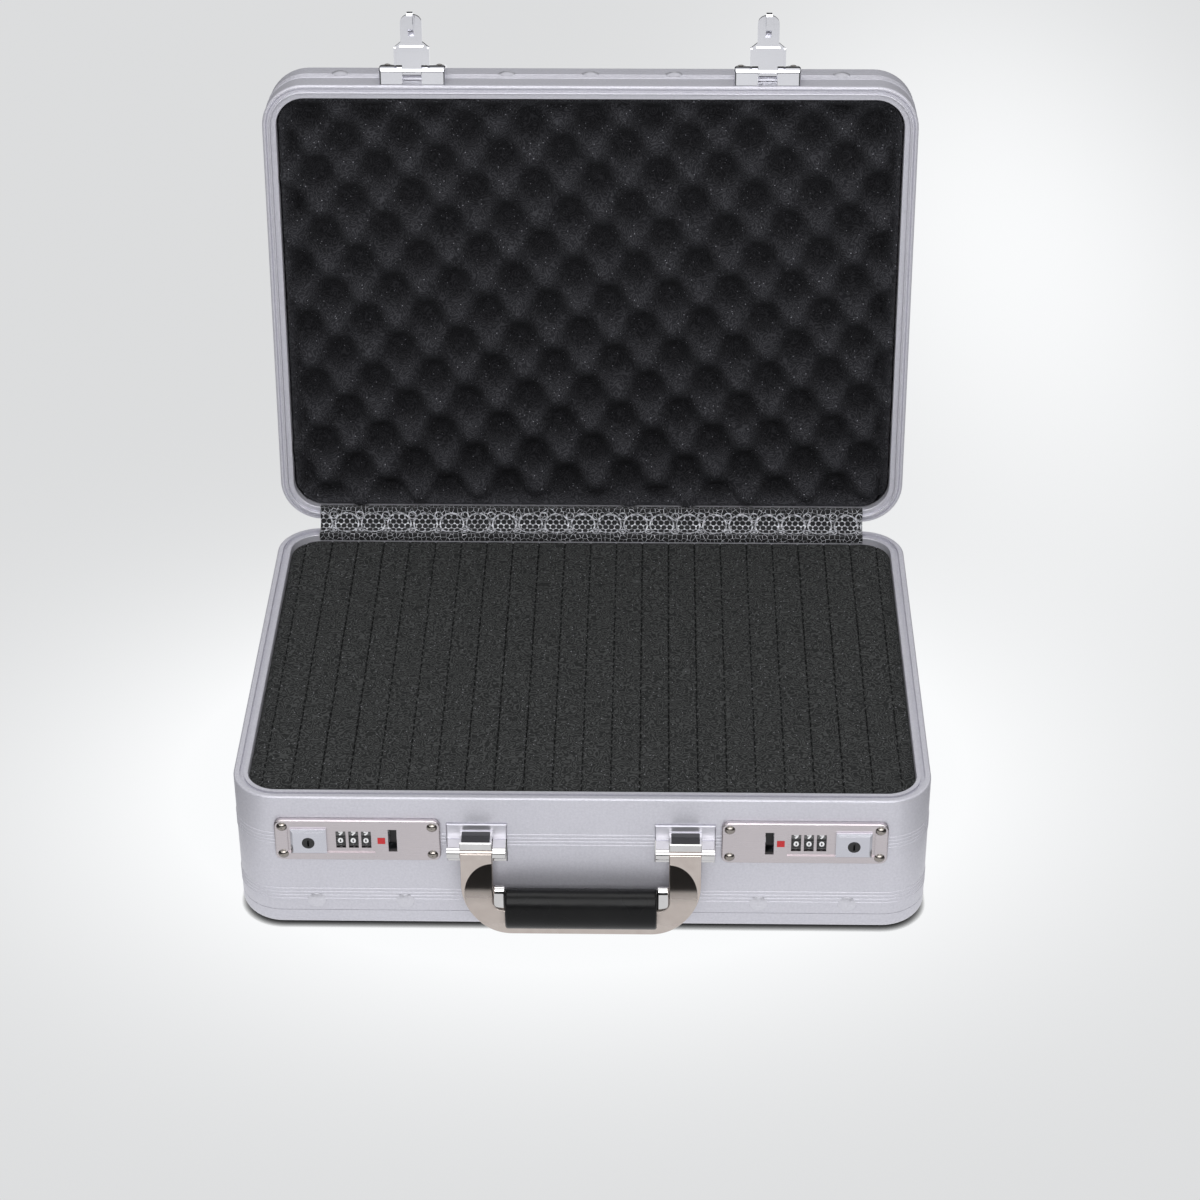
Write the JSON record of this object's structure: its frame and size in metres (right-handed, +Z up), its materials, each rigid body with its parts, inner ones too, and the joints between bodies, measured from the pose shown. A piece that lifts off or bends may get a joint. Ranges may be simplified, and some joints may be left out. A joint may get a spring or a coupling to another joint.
{
  "type": "laptop hard case",
  "caption": "Open aluminium attache case with ribbed bands, combination locks, hasps, fold-down handle, cube foam in the base and egg-crate foam in the lid.",
  "frame": {"origin": "centre of the base's footprint, on the surface that the closed case lies on", "axes": "+X to the right seen from the front, +Y to the hinge side, +Z up"},
  "size_m": [0.4608, 0.4493, 0.4904],
  "materials": {
    "satin_aluminium": "satin anodised",
    "dark_nickel": "polished dark nickel",
    "hinge_steel": "zinc plated",
    "black_plastic": "matte",
    "dial_plastic": "semi-gloss, white digits",
    "red_plastic": "gloss",
    "patterned_cloth": "woven, silver ring pattern",
    "charcoal_foam": "open-cell foam",
    "black_foam": "open-cell foam",
    "satin_nickel": "satin nickel plate",
    "bright_nickel": "polished nickel plate",
    "grip_vinyl": "soft satin"
  },
  "bodies": {
    "base": {"base_frame": "satin_aluminium", "base_pan": "satin_aluminium", "base_rivets": "satin_aluminium", "hinge_leaf_base": "hinge_steel", "hinge_pin": "hinge_steel", "hinge_rivets_base": "hinge_steel", "lid_stops": "hinge_steel", "hinge_strip": "patterned_cloth", "base_foam_pad": "charcoal_foam", "base_pluck_foam": "charcoal_foam", "lock_plate_left": "satin_nickel", "lock_plate_right": "satin_nickel", "lock_housing_left": "hinge_steel", "lock_housing_right": "hinge_steel", "dial_shaft_left": "hinge_steel", "dial_shaft_right": "hinge_steel", "lock_indicators": "red_plastic", "ejector_spring_left": "hinge_steel", "ejector_spring_right": "hinge_steel", "slide_spring_left": "hinge_steel", "slide_spring_right": "hinge_steel", "lock_rivets": "dark_nickel", "handle_bracket_left": "bright_nickel", "handle_bracket_right": "bright_nickel", "handle_pins": "hinge_steel", "handle_screws": "hinge_steel"},
    "lid": {"lid_frame": "satin_aluminium", "lid_pan": "satin_aluminium", "lid_rivets": "satin_aluminium", "hinge_leaf_lid": "hinge_steel", "hinge_rivets_lid": "hinge_steel", "lid_foam": "black_foam", "hasp_bracket_left": "satin_nickel", "hasp_bracket_right": "satin_nickel", "hasp_pins": "hinge_steel", "hasp_screws": "satin_nickel"},
    "hasp_left": {"hasp_left": "satin_nickel"},
    "hasp_right": {"hasp_right": "satin_nickel"},
    "handle": {"handle_frame": "bright_nickel", "grip": "grip_vinyl", "grip_end_caps": "bright_nickel"},
    "slide_left": {"slide_button_left": "satin_nickel", "catch_bar_left": "hinge_steel"},
    "slide_right": {"slide_button_right": "satin_nickel", "catch_bar_right": "hinge_steel"},
    "key_left": {"key_barrel_left": "black_plastic"},
    "key_right": {"key_barrel_right": "black_plastic"},
    "dial_1_left": {"dial_1_left": "dial_plastic"},
    "dial_2_left": {"dial_2_left": "dial_plastic"},
    "dial_3_left": {"dial_3_left": "dial_plastic"},
    "dial_1_right": {"dial_1_right": "dial_plastic"},
    "dial_2_right": {"dial_2_right": "dial_plastic"},
    "dial_3_right": {"dial_3_right": "dial_plastic"},
    "ejector_left": {"ejector_left": "black_plastic"},
    "ejector_right": {"ejector_right": "black_plastic"}
  },
  "joints": [
    {"name": "lid_hinge", "type": "hinge", "parent": "base", "child": "lid", "pos_m": [0, 0.169, 0.107], "axis": [1, 0, 0], "range_deg": [0, 97.3], "deforming": ["hinge_strip"]},
    {"name": "hasp_left_fold", "type": "hinge", "parent": "lid", "child": "hasp_left", "pos_m": [-0.1229, 0.21846, 0.44586], "axis": [1, 0, 0], "range_deg": [0, 90]},
    {"name": "hasp_right_fold", "type": "hinge", "parent": "lid", "child": "hasp_right", "pos_m": [0.1229, 0.21846, 0.44586], "axis": [1, 0, 0], "range_deg": [0, 90]},
    {"name": "handle_lift", "type": "hinge", "parent": "base", "child": "handle", "pos_m": [0, -0.174, 0.0701], "axis": [-1, 0, 0], "range_deg": [0, 90]},
    {"name": "slide_left_release", "type": "slide", "parent": "base", "child": "slide_left", "axis": [1, 0, 0], "range_m": [-0.0018, 0.0045], "stiffness_N_per_m": 200, "deforming": ["slide_spring_left"]},
    {"name": "slide_right_release", "type": "slide", "parent": "base", "child": "slide_right", "axis": [-1, 0, 0], "range_m": [-0.0018, 0.0045], "stiffness_N_per_m": 200, "deforming": ["slide_spring_right"]},
    {"name": "key_left_turn", "type": "hinge", "parent": "slide_left", "child": "key_left", "pos_m": [-0.17775, -0.17, 0.07425], "axis": [0, 1, 0], "range_deg": [0, 90]},
    {"name": "key_right_turn", "type": "hinge", "parent": "slide_right", "child": "key_right", "pos_m": [0.17775, -0.17, 0.07425], "axis": [0, 1, 0], "range_deg": [0, 90]},
    {"name": "dial_1_left_spin", "type": "hinge", "parent": "base", "child": "dial_1_left", "pos_m": [-0.1402, -0.16, 0.07425], "axis": [1, 0, 0], "continuous": true},
    {"name": "dial_2_left_spin", "type": "hinge", "parent": "base", "child": "dial_2_left", "pos_m": [-0.1485, -0.16, 0.07425], "axis": [1, 0, 0], "continuous": true},
    {"name": "dial_3_left_spin", "type": "hinge", "parent": "base", "child": "dial_3_left", "pos_m": [-0.1568, -0.16, 0.07425], "axis": [1, 0, 0], "continuous": true},
    {"name": "dial_1_right_spin", "type": "hinge", "parent": "base", "child": "dial_1_right", "pos_m": [0.1402, -0.16, 0.07425], "axis": [1, 0, 0], "continuous": true},
    {"name": "dial_2_right_spin", "type": "hinge", "parent": "base", "child": "dial_2_right", "pos_m": [0.1485, -0.16, 0.07425], "axis": [1, 0, 0], "continuous": true},
    {"name": "dial_3_right_spin", "type": "hinge", "parent": "base", "child": "dial_3_right", "pos_m": [0.1568, -0.16, 0.07425], "axis": [1, 0, 0], "continuous": true},
    {"name": "ejector_left_push", "type": "slide", "parent": "base", "child": "ejector_left", "axis": [0, 1, 0], "range_m": [0, 0.0024], "stiffness_N_per_m": 200, "deforming": ["ejector_spring_left"]},
    {"name": "ejector_right_push", "type": "slide", "parent": "base", "child": "ejector_right", "axis": [0, 1, 0], "range_m": [0, 0.0024], "stiffness_N_per_m": 200, "deforming": ["ejector_spring_right"]}
  ]
}
